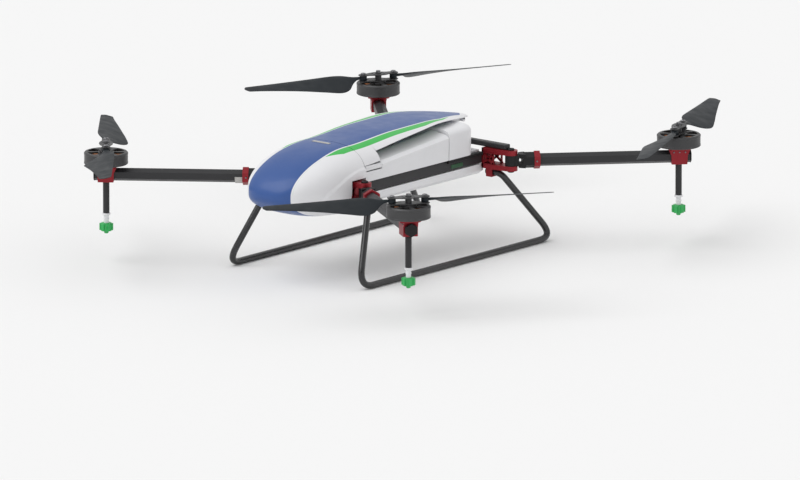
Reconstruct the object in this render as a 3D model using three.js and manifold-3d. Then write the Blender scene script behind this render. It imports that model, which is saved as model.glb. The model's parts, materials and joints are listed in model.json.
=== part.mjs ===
// A folding four-rotor crop-spraying drone. Millimetres, +Z up, nose towards -Y, left side towards +X.
// The origin is on the belly plate's underside, halfway between the front and rear motors.
import * as THREE from "three";
import { mergeVertices } from "three/addons/utils/BufferGeometryUtils.js";
import Module from "manifold-3d";

// Hull
const HULL_HALF_WIDTH = 121;
const HULL_WALL = 3;
const NOSE_TIP_Y = -480;
const SEAM_Y = -250;
const TAIL_Y = 260;
const CROWN_Z = 149;
const RIDGE = { rise: 8, from: -250, to: -80, drop: 26, dropFrom: 40, dropRun: 220 };
const HULL_ROUNDNESS = 2.8;
const WAIST_Z = 68;
const NOSE_TIP_Z = 50;
const NOSE_BELLY_Z = -21;
const HOOD_STEP_Y = -190;
const HOOD_PIVOT = { y: 250, z: 119 };
const HOOD_EDGE = { front: 0.965, rear: 0.84 };
const LATCH = { halfWidth: 26, front: -275, rear: -266, bottom: 139, top: 149.6, clearance: 0.6 };

// Tank, battery bay and what they carry
const TANK = { rear: 211, topFront: -186, topRear: 65, edge: 120, frontLip: 97, rearLip: 118, trough: 104 };
const RAIL_SLOT = { below: 31, above: 63 };
const FILLER = { y: -60, bore: 29, neck: 34, capInside: 35.5, cap: 40 };
const BAY = { front: 67, halfWidth: 120, corner: 36, cornerY: 136, shoulder: 122, top: 136 };
const POCKET = { halfWidth: 46, front: 75, rear: 162, floor: 12 };
const PUMP = { y: -306, z: 15, radius: 17, length: 88 };

// Frame
const RAIL = { inner: 97, outer: 111, bottom: 34, top: 60, front: -300, rear: 208 };
const GAP = 0.3;
const PLATE = { halfWidth: 60, thickness: 3, front: -246, rear: 205 };
const FRONT_BAR = { front: -292, rear: -268 };
const REAR_BAR = { reach: 178, front: 210, rear: 228, bottom: 72.3, top: 85 };

// Arms: each swings about a vertical pin, and reaches from that pin to the motor's axis
const ARM_Z = 47;
const ARM_APOTHEM = 13.75;
const ARM_OVERHANG = 27;
const ARM_START = 36.5;
const EAR_RADIUS = 16;
const PIN_RADIUS = 5;
const ENDS = {
  front: { pivot: [144, -282], angle: -35.5, length: 398, core: [126, -296, -258], skidY: -284, pitch: -1 },
  rear: { pivot: [185.5, 220.7], angle: 46, length: 406.5, core: [150, 200, 238], skidY: 218, pitch: 1 },
};
const BLADE_ANGLES = { front_left: 53.6, front_right: 49.7, rear_left: 114.3, rear_right: 116.5 };

// Rotors
const BELL = { radius: 53, bottom: 73, top: 102, wall: 4, boss: 16 };
const HUB = { pinAt: 40, bottom: 105.3, top: 123.5, plate: 2.7, pin: 3.5 };
const BLADE_Z = 114.4;
const ROTOR_RADIUS = 355;

// Spray line under each motor
const SPRAY = { tubeRadius: 7.8, top: 26, adapter: -48, nozzle: -72, bottom: -98 };

// Landing skids
const SKID = { radius: 8, footX: 206, topX: 156, innerX: 113, topZ: 12, footZ: -161, front: -377, rear: 358 };

const wasm = await Module();
wasm.setup();
const radians = THREE.MathUtils.degToRad;

function solid(geometry) {
  const bare = geometry.clone();
  bare.deleteAttribute("normal");
  bare.deleteAttribute("uv");
  const merged = mergeVertices(bare, 1e-4);
  return new wasm.Manifold(
    new wasm.Mesh({
      numProp: 3,
      vertProperties: new Float32Array(merged.attributes.position.array),
      triVerts: new Uint32Array(merged.index.array),
    }),
  );
}

function geometryOf(body) {
  const mesh = body.getMesh();
  const geometry = new THREE.BufferGeometry();
  geometry.setAttribute("position", new THREE.BufferAttribute(new Float32Array(mesh.vertProperties), 3));
  geometry.setIndex(new THREE.BufferAttribute(new Uint32Array(mesh.triVerts), 1));
  geometry.computeVertexNormals();
  return geometry;
}

const join = (first, ...rest) => geometryOf(rest.reduce((all, g) => all.add(solid(g)), solid(first)));
const cut = (first, ...rest) => geometryOf(rest.reduce((all, g) => all.subtract(solid(g)), solid(first)));

function box(x0, x1, y0, y1, z0, z1) {
  const made = new THREE.BoxGeometry(x1 - x0, y1 - y0, z1 - z0);
  return made.translate((x0 + x1) / 2, (y0 + y1) / 2, (z0 + z1) / 2);
}

// An upright cylinder, or a cone where the two radii differ.
function post(radius, z0, z1, x = 0, y = 0, sides = 24, topRadius = radius) {
  const made = new THREE.CylinderGeometry(topRadius, radius, z1 - z0, sides);
  return made.rotateX(Math.PI / 2).translate(x, y, (z0 + z1) / 2);
}

function crossPost(radius, x0, x1, y, z, sides = 16) {
  const made = new THREE.CylinderGeometry(radius, radius, x1 - x0, sides);
  return made.rotateZ(-Math.PI / 2).translate((x0 + x1) / 2, y, z);
}

// A flat outline in X and Y, standing from z0 to z1.
function slab(points, z0, z1, holes = []) {
  const shape = new THREE.Shape(points.map(([x, y]) => new THREE.Vector2(x, y)));
  shape.holes = holes.map((hole) => new THREE.Path(hole.map(([x, y]) => new THREE.Vector2(x, y))));
  return new THREE.ExtrudeGeometry(shape, { depth: z1 - z0, bevelEnabled: false }).translate(0, 0, z0);
}

// An outline in X and Z, running from y0 to y1.
const beamAlongY = (points, y0, y1) => slab(points.map(([x, z]) => [x, -z]), y0, y1).rotateX(-Math.PI / 2);

// An outline in Y and Z, running from x0 to x1.
const beamAlongX = (points, x0, x1, holes) =>
  slab(points, x0, x1, holes).rotateX(Math.PI / 2).rotateZ(Math.PI / 2);

const mirrored = (half) => [...half, ...half.map(([x, z]) => [-x, z]).reverse()];

// A closed skin over rings of the same number of points, with a flat cap at each end.
function loft(rings) {
  const count = rings[0].length;
  const points = rings.flat().flatMap((p) => p.toArray());
  const faces = [];
  for (let r = 0; r + 1 < rings.length; r += 1) {
    for (let i = 0; i < count; i += 1) {
      const a = r * count + i;
      const b = r * count + ((i + 1) % count);
      faces.push(a, b, b + count, a, b + count, a + count);
    }
  }
  const capOf = (ring) => {
    const normal = new THREE.Vector3();
    ring.forEach((p, i) => normal.add(p.clone().cross(ring[(i + 1) % count])));
    const turn = new THREE.Quaternion().setFromUnitVectors(normal.normalize(), new THREE.Vector3(0, 0, 1));
    const flat = ring.map((p) => p.clone().applyQuaternion(turn));
    return THREE.ShapeUtils.triangulateShape(flat.map(({ x, y }) => new THREE.Vector2(x, y)), []);
  };
  const last = (rings.length - 1) * count;
  capOf(rings[0]).forEach(([a, b, c]) => faces.push(a, c, b));
  capOf(rings.at(-1)).forEach(([a, b, c]) => faces.push(last + a, last + b, last + c));
  const made = new THREE.BufferGeometry();
  made.setAttribute("position", new THREE.BufferAttribute(new Float32Array(points), 3));
  made.setIndex(faces);
  return made;
}

const steps = (count, from, to) =>
  Array.from({ length: count + 1 }, (_, i) => from + ((to - from) * i) / count);
const power = (value, exponent) => Math.sign(value) * Math.abs(value) ** exponent;
const roundOff = (t, exponent) => (1 - Math.min(1, t) ** exponent) ** (1 / exponent);

// Nose cowl: a shell whose width, crown and belly all close towards the nose tip.
const NOSE_POINTS = 26;
const NOSE_ROUNDNESS = 2 / HULL_ROUNDNESS;

function noseRing(reach, inset) {
  const y = SEAM_Y + reach * (NOSE_TIP_Y - SEAM_Y);
  const waist = WAIST_Z + (NOSE_TIP_Z - WAIST_Z) * reach;
  const halfWidth = HULL_HALF_WIDTH * roundOff(reach, 2.7) - inset;
  const crown = (CROWN_Z - NOSE_TIP_Z) * roundOff(reach, 1.85) + NOSE_TIP_Z - waist - inset;
  const belly = (NOSE_TIP_Z - NOSE_BELLY_Z) * roundOff(reach, 2) + waist - NOSE_TIP_Z - inset;
  return steps(NOSE_POINTS - 1, 0, 2 * Math.PI * (1 - 1 / NOSE_POINTS)).map((angle) => {
    const side = power(Math.cos(angle), NOSE_ROUNDNESS);
    const lift = power(Math.sin(angle), NOSE_ROUNDNESS);
    return new THREE.Vector3(side * halfWidth, y, waist + lift * (lift > 0 ? crown : belly));
  });
}

function noseCowl() {
  const reaches = steps(8, 0, 0.46 * Math.PI).map(Math.sin);
  const outer = loft(reaches.map((reach) => noseRing(reach, 0)));
  const inside = reaches.slice(0, -1).map((reach) => noseRing(reach, HULL_WALL));
  const mouth = inside[0].map((p) => p.clone().setY(SEAM_Y + 5));
  const notches = [[90, 160], [-160, -90]].map(([x0, x1]) => box(x0, x1, -304, SEAM_Y + 5, -8, 76));
  return cut(outer, loft([mouth, ...inside]), ...notches, latchBar(LATCH.clearance));
}

// Hood: an arched leaf from the seam to the tail, deeper in front of its step.
function hoodRing(y, edge) {
  const run = (y - SEAM_Y) / (TAIL_Y - SEAM_Y);
  const { smoothstep } = THREE.MathUtils;
  const drop = RIDGE.drop * Math.max(0, (y - RIDGE.dropFrom) / RIDGE.dropRun) ** 1.7;
  const ridge = CROWN_Z + RIDGE.rise * smoothstep(y, RIDGE.from, RIDGE.to) - drop;
  const full = HULL_HALF_WIDTH * (1 - 0.8 * run ** 3.9);
  const waist = WAIST_Z + (ridge - 16 - WAIST_Z) * smoothstep(y, HOOD_STEP_Y - 60, 100);
  const heightAt = (x, wide, inset) =>
    waist + (ridge - inset - waist) * roundOff(Math.abs(x) / wide, HULL_ROUNDNESS);
  const across = steps(12, -1, 1).map((s) => full * edge * Math.sin((s * Math.PI) / 2));
  const outer = across.map((x) => new THREE.Vector3(x, y, heightAt(x, full, 0)));
  const inner = across.map((x) => {
    const inside = x * (1 - HULL_WALL / full);
    return new THREE.Vector3(inside, y, heightAt(inside, full - HULL_WALL, HULL_WALL));
  });
  return [...outer, ...inner.reverse()];
}

function hood() {
  const { y: pivotY, z: pivotZ } = HOOD_PIVOT;
  const front = steps(2, SEAM_Y + 1, HOOD_STEP_Y).map((y) => hoodRing(y, HOOD_EDGE.front));
  const rear = steps(8, HOOD_STEP_Y + 0.5, TAIL_Y).map((y) => hoodRing(y, HOOD_EDGE.rear));
  const shell = loft([...front, ...rear]);
  const knuckles = [[-16, -8.5], [8.5, 16]].map(([x0, x1]) =>
    join(crossPost(5, x0, x1, pivotY, pivotZ), box(x0, x1, pivotY - 3, pivotY + 3, pivotZ, 131.5)),
  );
  const pin = crossPost(2.5, -10, 10, pivotY, pivotZ);
  return join(shell, ...knuckles, pin);
}

// Latch bar, sitting in a slot across the cowl's crown just ahead of the hood.
function latchBar(grow) {
  const { halfWidth, front, rear, bottom, top } = LATCH;
  const lift = 4 * grow;
  return box(-halfWidth - grow, halfWidth + grow, front - grow, rear + grow, bottom - lift, top + lift);
}

// Tank: a saddle that hangs over both rails, hollow, with a filler neck in a trough along its top.
function tank() {
  const { rear, topFront, topRear, edge, frontLip, rearLip, trough } = TANK;
  const side = RAIL.inner - 3;
  const front = SEAM_Y + 3;
  const belly = [[0, 3.5], [side - 2, 3.5], [107, 14], [108, RAIL_SLOT.below], [side, RAIL_SLOT.below]];
  const low = beamAlongY(mirrored([...belly, [side, RAIL_SLOT.above], [0, RAIL_SLOT.above]]), front, rear);
  const base = [[0, 60], [side, 60], [side, RAIL_SLOT.above], [edge - 1, RAIL_SLOT.above]];
  const lip = (z) => [[edge, z], [edge - 8, z + 7], [74, z + 13], [66, z + 13], [64, trough], [0, trough]];
  const across = (y, z) =>
    mirrored([...base, ...lip(z)]).map(([x, height]) => new THREE.Vector3(x, y, height));
  const high = loft([across(topRear, rearLip), across(topFront, frontLip)]);
  const bevel = [[edge - 1, 90], [109, 90], [104, 94], [64, trough], [0, trough]];
  const collar = beamAlongY(mirrored([...base, ...bevel]), front, topFront + 1);
  const neck = post(FILLER.neck, 101, 121, 0, FILLER.y, 20);
  const inside = [[0, 9], [88, 9], [88, 66], [112, 69], [112, 88], [62, 98], [0, 98]];
  const room = beamAlongY(mirrored(inside), front + 7, topRear - 6);
  const well = box(-53, 53, BAY.front + 1, rear + 4, -5, 70);
  return cut(join(low, high, collar, neck), room, post(FILLER.bore, 90, 125, 0, FILLER.y, 20), well);
}

function tankCap() {
  const cup = cut(post(FILLER.cap, 110, 136, 0, FILLER.y), post(FILLER.capInside, 105, 124, 0, FILLER.y));
  const grips = [0, 90].map((turn) =>
    new THREE.BoxGeometry(70, 9, 6).rotateZ(radians(turn)).translate(0, FILLER.y, 138),
  );
  return join(cup, ...grips);
}

// Battery bay: the rounded block behind the tank, with an open pocket and a lug for the hood's pin.
function batteryBay() {
  const { front, halfWidth, corner, cornerY, shoulder, top } = BAY;
  const { y: pivotY, z: pivotZ } = HOOD_PIVOT;
  const shape = new THREE.Shape();
  shape.moveTo(-halfWidth, front).lineTo(halfWidth, front).lineTo(halfWidth, cornerY);
  shape.absarc(halfWidth - corner, cornerY, corner, 0, Math.PI / 2, false);
  shape.absarc(corner - halfWidth, cornerY, corner, Math.PI / 2, Math.PI, false);
  const plan = shape.extractPoints(4).shape;
  const levels = [
    { scale: 1, deep: 1, z: 63 },
    { scale: 1, deep: 1, z: shoulder },
    { scale: 0.975, deep: 0.985, z: shoulder + 0.5 * (top - shoulder) },
    { scale: 0.91, deep: 0.95, z: shoulder + 0.85 * (top - shoulder) },
    { scale: 0.8, deep: 0.89, z: top },
  ];
  const dome = loft(
    levels.map(({ scale, deep, z }) =>
      plan.map((p) => new THREE.Vector3(p.x * scale, front + (p.y - front) * deep, z)),
    ),
  );
  const cradle = box(-50, 50, front + 3, POCKET.rear + 5, 8, 70);
  const lug = join(box(-8, 8, POCKET.rear + 2, pivotY, 115, 123), crossPost(4.6, -8, 8, pivotY, pivotZ));
  const pocket = box(-POCKET.halfWidth, POCKET.halfWidth, POCKET.front, POCKET.rear, POCKET.floor, top + 5);
  return cut(join(dome, cradle, lug), pocket, crossPost(3, -20, 20, pivotY, pivotZ, 12));
}

function batteryPack() {
  const { halfWidth, front, rear, floor } = POCKET;
  const block = box(2 - halfWidth, halfWidth - 2, front + 2, rear - 2, floor + GAP, 112);
  const handle = box(-20, 20, 112, 126, 111, 124);
  return join(block, handle);
}

function skid() {
  const at = (x, y, z) => new THREE.Vector3(x, y, z);
  const corners = [
    at(SKID.innerX, ENDS.front.skidY, SKID.topZ),
    at(SKID.topX, ENDS.front.skidY, SKID.topZ),
    at(SKID.footX, SKID.front, SKID.footZ),
    at(SKID.footX, SKID.rear, SKID.footZ),
    at(SKID.topX, ENDS.rear.skidY, SKID.topZ),
    at(SKID.innerX, ENDS.rear.skidY, SKID.topZ),
  ];
  const bends = [0, 18, 52, 52, 18, 0];
  const path = new THREE.CurvePath();
  let from = corners[0];
  corners.slice(1, -1).forEach((corner, i) => {
    const before = corner.clone().lerp(corners[i], bends[i + 1] / corner.distanceTo(corners[i]));
    const after = corner.clone().lerp(corners[i + 2], bends[i + 1] / corner.distanceTo(corners[i + 2]));
    path.add(new THREE.LineCurve3(from, before));
    path.add(new THREE.QuadraticBezierCurve3(before, corner, after));
    from = after;
  });
  path.add(new THREE.LineCurve3(from, corners.at(-1)));
  const ring = new THREE.Shape().absarc(0, 0, SKID.radius, 0, 2 * Math.PI, false);
  const settings = { steps: 48, extrudePath: path, curveSegments: 4, bevelEnabled: false };
  return new THREE.ExtrudeGeometry(ring, settings);
}

// Hinge block: a casting on the rail's outer face, with two ears, their pin and a clamp for the skid.
function hingeBlock(end) {
  const [reach, y0, y1] = end.core;
  const [px, py] = end.pivot;
  const inner = RAIL.outer + GAP;
  const arc = steps(8, -Math.PI / 2, Math.PI / 2);
  const rim = arc.map((a) => [px + EAR_RADIUS * Math.cos(a), py + EAR_RADIUS * Math.sin(a)]);
  const top = Math.max(y1 - 2, py + EAR_RADIUS - 8);
  const outline = [[inner, y0], [reach, y0], ...rim, [reach, Math.min(y1, top)], [inner, y1]];
  const ears = [slab(outline, 22, 33.7), slab(outline, 60.3, 72)];
  const wall = box(inner, reach - 12, y0, y1, 22, 72);
  const ribs = [y0 + 1, (y0 + y1) / 2 - 3, y1 - 7].map((y) => box(inner, reach - 3, y, y + 6, 22, 72));
  const clampY = end.skidY;
  const clamp = box(inner + 8, inner + 26, clampY - 12, clampY + 12, SKID.topZ - 11, 24);
  const bore = crossPost(SKID.radius + 0.5, inner - 5, inner + 60, clampY, SKID.topZ, 14);
  return cut(join(...ears, wall, ...ribs, post(PIN_RADIUS, 22, 72, px, py, 12), clamp), bore);
}

// A six-sided outline in Y and Z with flat sides left and right and a point up and down.
const hexagon = (apothem, z = ARM_Z) =>
  steps(5, 0, 5).map((i) => {
    const angle = radians(30 + 60 * i);
    const corner = apothem / Math.cos(radians(30));
    return [corner * Math.cos(angle), z + corner * Math.sin(angle)];
  });

const armTube = (length) =>
  beamAlongX(hexagon(ARM_APOTHEM), ARM_START, length + ARM_OVERHANG, [hexagon(ARM_APOTHEM - 1.8)]);

// Arm fork, along +X from the pin: the knuckle between the ears, a neck and the socket for the arm.
function armFork() {
  const knuckle = post(14.5, 34, 60, 0, 0, 20);
  const neck = box(0, 24, -11, 11, 34, 60);
  const cheeks = slab([[18, -12], [30, -17], [34, -17], [34, 17], [30, 17], [18, 12]], 30, 64);
  const socket = beamAlongX(hexagon(17), 30, 66);
  const window = box(18.5, 26, -20, 20, 41, 53);
  return cut(
    join(knuckle, neck, cheeks, socket),
    post(PIN_RADIUS + 0.5, 30, 64, 0, 0, 12),
    beamAlongX(hexagon(ARM_APOTHEM + GAP), ARM_START - 0.5, 70),
    window,
  );
}

// Motor mount: a tapered saddle clamped round the arm, with a round seat for the motor.
function motorMount() {
  const profile = [[-19, 30], [19, 30], [20, 52], [26, 66], [-26, 66], [-20, 52]];
  const side = slab(profile, -18, 18).rotateX(Math.PI / 2);
  const plan = [[26, -20], [26, 20], [20, 26], [-20, 26], [-26, 20], [-26, -20], [-20, -26], [20, -26]];
  const flange = slab(plan, 65, 70);
  const seat = post(22, 68, BELL.bottom - 1.5, 0, 0, 16);
  return cut(join(side, flange, seat), beamAlongX(hexagon(ARM_APOTHEM + GAP), -30, 30));
}

// Motor bell: a cup with six windows in its deck and a boss that carries the propeller.
function motorBell() {
  const { radius, bottom, top, wall, boss } = BELL;
  const profile = [
    [0, bottom + 3], [boss, bottom + 3], [boss, top - 4], [radius - wall, top - 4], [radius - wall, bottom],
    [radius - 1.5, bottom], [radius, bottom + 1.5], [radius, top - 1.5], [radius - 1.5, top],
    [boss, top], [boss, top + 3], [0, top + 3],
  ].map(([r, z]) => new THREE.Vector2(r, z));
  const cup = new THREE.LatheGeometry(profile, 20).rotateX(Math.PI / 2);
  const windows = steps(5, 0, 5).map((i) => {
    const shape = new THREE.Shape();
    shape.absarc(0, 0, radius - wall - 4, radians(-22), radians(22), false);
    shape.absarc(0, 0, boss + 4, radians(16), radians(-16), true);
    const sector = new THREE.ExtrudeGeometry(shape, { depth: 12, bevelEnabled: false, curveSegments: 2 });
    return sector.rotateZ(radians(60 * i)).translate(0, 0, top - 8);
  });
  return cut(cup, ...windows);
}

// Propeller hub: two plates on a centre post, with a pin at each end for a blade.
function propellerHub() {
  const { pinAt, bottom, top, plate, pin } = HUB;
  const upper = [[pinAt + 11, 5], [pinAt + 6, 10], [26, 10], [14, 15], [0, 17]];
  const across = [...upper, ...upper.slice(0, -1).reverse().map(([x, y]) => [-x, y])];
  const outline = [...across, ...across.map(([x, y]) => [-x, -y])];
  return join(
    slab(outline, bottom, bottom + plate),
    slab(outline, top - plate, top),
    post(8, bottom, top + 2, 0, 0, 10),
    post(pin, bottom, top + 1.5, pinAt, 0, 8),
    post(pin, bottom, top + 1.5, -pinAt, 0, 8),
  );
}

// Blade, along +X from its own pin: straight leading edge, a broad root that tapers to the tip.
function blade(pitchSense) {
  const span = ROTOR_RADIUS - HUB.pinAt;
  const stations = [
    { at: 0.02, lead: 6, trail: 6, thick: 8.6, pitch: 0 },
    { at: 0.06, lead: 7, trail: 8, thick: 8, pitch: 12 },
    { at: 0.11, lead: 11, trail: 20, thick: 6, pitch: 24 },
    { at: 0.17, lead: 18, trail: 44, thick: 5, pitch: 23 },
    { at: 0.25, lead: 21, trail: 56, thick: 4.6, pitch: 21 },
    { at: 0.38, lead: 20, trail: 51, thick: 4.2, pitch: 18 },
    { at: 0.55, lead: 18, trail: 40, thick: 3.6, pitch: 15 },
    { at: 0.72, lead: 16, trail: 30, thick: 3, pitch: 12.5 },
    { at: 0.88, lead: 14, trail: 21, thick: 2.4, pitch: 11 },
    { at: 0.98, lead: 12, trail: 17, thick: 2, pitch: 10 },
    { at: 1, lead: 9, trail: 16, thick: 1.4, pitch: 10 },
  ];
  const upper = [[1, 0], [0.7, 0.42], [0.1, 0.5], [-0.5, 0.34]];
  const section = [...upper, [-1, 0], [-0.5, -0.24], [0.1, -0.36], [0.7, -0.32]];
  const rings = stations.map(({ at, lead, trail, thick, pitch }) => {
    return section.map(([along, lift]) => {
      const offset = along > 0 ? along * lead : along * trail;
      const centre = new THREE.Vector2();
      const turned = new THREE.Vector2(offset, lift * thick).rotateAround(centre, radians(pitch));
      return new THREE.Vector3(at * span, turned.x, BLADE_Z + turned.y);
    });
  });
  const eye = post(9, BLADE_Z - 5.6, BLADE_Z + 5.6, 0, 0, 12);
  const made = cut(join(loft(rings), eye), post(HUB.pin + 0.4, BLADE_Z - 10, BLADE_Z + 10, 0, 0, 12));
  return pitchSense > 0 ? made : geometryOf(solid(made).mirror([0, 1, 0]));
}

const sprayTube = () => post(SPRAY.tubeRadius, SPRAY.adapter, SPRAY.top, 0, 0, 12);

function nozzleAdapter() {
  const ring = [[0, -GAP], [9.5, -GAP], [10.2, -1.5], [10.2, -4], [8, -5.5]];
  const profile = [...ring, [6.2, -6], [6.2, -24], [0, -24]];
  const points = profile.reverse().map(([r, z]) => new THREE.Vector2(r, SPRAY.adapter + z));
  return new THREE.LatheGeometry(points, 12).rotateX(Math.PI / 2);
}

function nozzle() {
  const { nozzle: top, bottom } = SPRAY;
  const lobes = [0, 60, 120].map((turn) =>
    new THREE.BoxGeometry(33, 7, 17).rotateZ(radians(turn)).translate(0, 0, top - 10),
  );
  return join(post(13, bottom + 6, top - GAP, 0, 0, 12), ...lobes, post(5, bottom, bottom + 8, 0, 0, 8, 7));
}

// Pump, hung under the front crossbar with its head towards the nose.
function pump() {
  const { y, z, radius, length } = PUMP;
  const motor = new THREE.CylinderGeometry(radius, radius, length, 20).translate(0, y, z);
  const foot = box(-16, 16, FRONT_BAR.front - 8, FRONT_BAR.rear + 6, z, RAIL.bottom + 2 - GAP);
  const head = box(-24, 24, y - length / 2 - 22, y - length / 2 + 1, z - 19, z + 21);
  return join(motor, foot, head);
}

function flightController() {
  const lid = box(-34, 34, -301, -252, 72, 82);
  return join(box(-38, 38, -305, -251, 60.3, 74), lid);
}

const COLOURS = {
  shell: { color: 0xe9e9ec, roughness: 0.32, metalness: 0 },
  carbon: { color: 0x3b3c3f, roughness: 0.45, metalness: 0.2 },
  anodised: { color: 0x9a1d22, roughness: 0.38, metalness: 0.7 },
  motor: { color: 0x58595c, roughness: 0.5, metalness: 0.6 },
  blade: { color: 0x343a3e, roughness: 0.4, metalness: 0 },
  green: { color: 0x2fb45c, roughness: 0.4, metalness: 0 },
  black: { color: 0x1a1a1c, roughness: 0.55, metalness: 0 },
  grey: { color: 0xb6b6ba, roughness: 0.4, metalness: 0.1 },
};

function piece(name, geometry, colour, holder) {
  const mesh = new THREE.Mesh(geometry, new THREE.MeshStandardMaterial(COLOURS[colour]));
  mesh.name = name;
  holder.add(mesh);
}

const drone = new THREE.Group();

function addBody() {
  const { inner, outer, bottom, top, front, rear } = RAIL;
  const reach = inner - GAP;
  piece("nose_cowl", noseCowl(), "shell", drone);
  piece("rear_hood", hood(), "shell", drone);
  piece("hood_latch", latchBar(0), "grey", drone);
  piece("spray_tank", tank(), "shell", drone);
  piece("tank_cap", tankCap(), "black", drone);
  piece("battery_bay", batteryBay(), "shell", drone);
  piece("battery_pack", batteryPack(), "black", drone);
  piece("flight_controller", flightController(), "black", drone);
  piece("spray_pump", pump(), "black", drone);
  piece("left_rail", box(inner, outer, front, rear, bottom, top), "carbon", drone);
  piece("right_rail", box(-outer, -inner, front, rear, bottom, top), "carbon", drone);
  const frontBar = box(-reach, reach, FRONT_BAR.front, FRONT_BAR.rear, bottom + 2, top);
  piece("front_crossbar", frontBar, "carbon", drone);
  const { reach: barReach, bottom: barBottom, top: barTop } = REAR_BAR;
  const rearBar = box(-barReach, barReach, REAR_BAR.front, REAR_BAR.rear, barBottom, barTop);
  piece("rear_crossbar", rearBar, "carbon", drone);
  const { halfWidth, thickness } = PLATE;
  piece("belly_plate", box(-halfWidth, halfWidth, PLATE.front, PLATE.rear, 0, thickness), "carbon", drone);
}

function addCorner(place, side, geometry) {
  const end = ENDS[place];
  const corner = `${place}_${side}`;
  const half = new THREE.Group();
  half.scale.x = side === "left" ? 1 : -1;
  drone.add(half);
  piece(`hinge_block_${corner}`, geometry.block, "anodised", half);

  const arm = new THREE.Group();
  arm.position.set(end.pivot[0], end.pivot[1], 0);
  arm.rotation.z = radians(end.angle);
  half.add(arm);
  piece(`arm_fork_${corner}`, geometry.fork, "black", arm);
  piece(`arm_tube_${corner}`, geometry.tube, "carbon", arm);

  const station = new THREE.Group();
  station.position.x = end.length;
  arm.add(station);
  piece(`motor_mount_${corner}`, geometry.mount, "anodised", station);
  piece(`spray_tube_${corner}`, geometry.spray, "carbon", station);
  piece(`nozzle_adapter_${corner}`, geometry.adapter, "shell", station);
  piece(`nozzle_${corner}`, geometry.nozzle, "green", station);

  const rotor = new THREE.Group();
  rotor.rotation.z = radians(BLADE_ANGLES[corner] - end.angle);
  station.add(rotor);
  piece(`motor_bell_${corner}`, geometry.bell, "motor", rotor);
  piece(`propeller_hub_${corner}`, geometry.hub, "motor", rotor);
  [0, 180].forEach((turn, i) => {
    const holder = new THREE.Group();
    holder.rotation.z = radians(turn);
    rotor.add(holder);
    const swing = new THREE.Group();
    swing.position.x = HUB.pinAt;
    holder.add(swing);
    piece(`blade_${"ab"[i]}_${corner}`, geometry.blade, "blade", swing);
  });
}

addBody();
const skidShape = skid();
["left", "right"].forEach((side) => {
  const half = new THREE.Group();
  half.scale.x = side === "left" ? 1 : -1;
  drone.add(half);
  piece(`${side}_skid`, skidShape, "carbon", half);
});
const shared = {
  fork: armFork(), mount: motorMount(), bell: motorBell(), hub: propellerHub(),
  spray: sprayTube(), adapter: nozzleAdapter(), nozzle: nozzle(),
};
Object.entries(ENDS).forEach(([place, end]) => {
  const own = { block: hingeBlock(end), tube: armTube(end.length), blade: blade(end.pitch) };
  ["left", "right"].forEach((side) => addCorner(place, side, { ...shared, ...own }));
});

export default drone;
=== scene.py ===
import json
import math

import bmesh
import bpy
from mathutils import Matrix, Vector


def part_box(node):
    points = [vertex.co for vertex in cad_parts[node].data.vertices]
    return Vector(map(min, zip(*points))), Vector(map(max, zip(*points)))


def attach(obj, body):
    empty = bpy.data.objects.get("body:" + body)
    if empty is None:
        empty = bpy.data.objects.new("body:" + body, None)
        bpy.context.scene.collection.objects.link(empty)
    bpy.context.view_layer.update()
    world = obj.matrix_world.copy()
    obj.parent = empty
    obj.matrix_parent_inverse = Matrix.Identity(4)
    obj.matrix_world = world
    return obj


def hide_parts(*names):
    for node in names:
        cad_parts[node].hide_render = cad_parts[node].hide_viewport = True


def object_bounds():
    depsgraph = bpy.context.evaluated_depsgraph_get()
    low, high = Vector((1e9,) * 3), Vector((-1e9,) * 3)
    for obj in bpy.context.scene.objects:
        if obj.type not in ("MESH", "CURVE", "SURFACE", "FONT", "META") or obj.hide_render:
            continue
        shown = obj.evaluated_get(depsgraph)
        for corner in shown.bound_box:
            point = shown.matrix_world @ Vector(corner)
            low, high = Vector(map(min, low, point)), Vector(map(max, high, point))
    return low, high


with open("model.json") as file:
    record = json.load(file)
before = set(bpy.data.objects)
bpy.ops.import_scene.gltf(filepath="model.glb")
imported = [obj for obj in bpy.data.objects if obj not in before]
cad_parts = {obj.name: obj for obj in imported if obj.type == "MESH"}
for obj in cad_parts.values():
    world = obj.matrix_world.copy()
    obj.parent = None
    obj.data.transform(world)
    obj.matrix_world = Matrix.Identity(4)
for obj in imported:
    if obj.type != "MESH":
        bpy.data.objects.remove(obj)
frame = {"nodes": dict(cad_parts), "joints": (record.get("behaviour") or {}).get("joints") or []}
cad_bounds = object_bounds()

# Shapes are worked out in millimetres and turned into metres as each object is made.
MM = 0.001
CORNERS = ("front_left", "front_right", "rear_left", "rear_right")

# Hull, the same driving sizes as the CAD shells that the smooth shells stand for
HULL_HALF_WIDTH = 121
HULL_WALL = 3
NOSE_TIP_Y = -480
SEAM_Y = -250
TAIL_Y = 260
CROWN_Z = 149
RIDGE = {"rise": 8, "from": -250, "to": -80, "drop": 26, "drop_from": 40, "drop_run": 220}
HULL_ROUNDNESS = 2.8
WAIST_Z = 68
NOSE_TIP_Z = 50
NOSE_BELLY_Z = -21
HOOD_STEP_Y = -190
HOOD_PIVOT = (250, 119)
HOOD_EDGE_FRONT = 0.965
HOOD_EDGE_REAR = 0.84

# Painted bands on the hull: half widths across X, and where along Y they change
BLUE_HALF = 62
BLUE_NOSE_EXTRA = 3
PINSTRIPE = 3.6
GREEN_WIDTH = 19

# Battery bay, skids, arms, rotors and spray line
BAY = {"front": 67, "half_width": 120, "corner": 36, "corner_y": 136, "bottom": 63, "shoulder": 122, "top": 136}
POCKET = {"half_width": 46, "front": 75, "rear": 162, "floor": 12}
SKID = {"radius": 8, "foot_x": 206, "top_x": 156, "inner_x": 113, "top_z": 12, "foot_z": -161,
        "front": -377, "rear": 358, "front_top_y": -284, "rear_top_y": 218}
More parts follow.
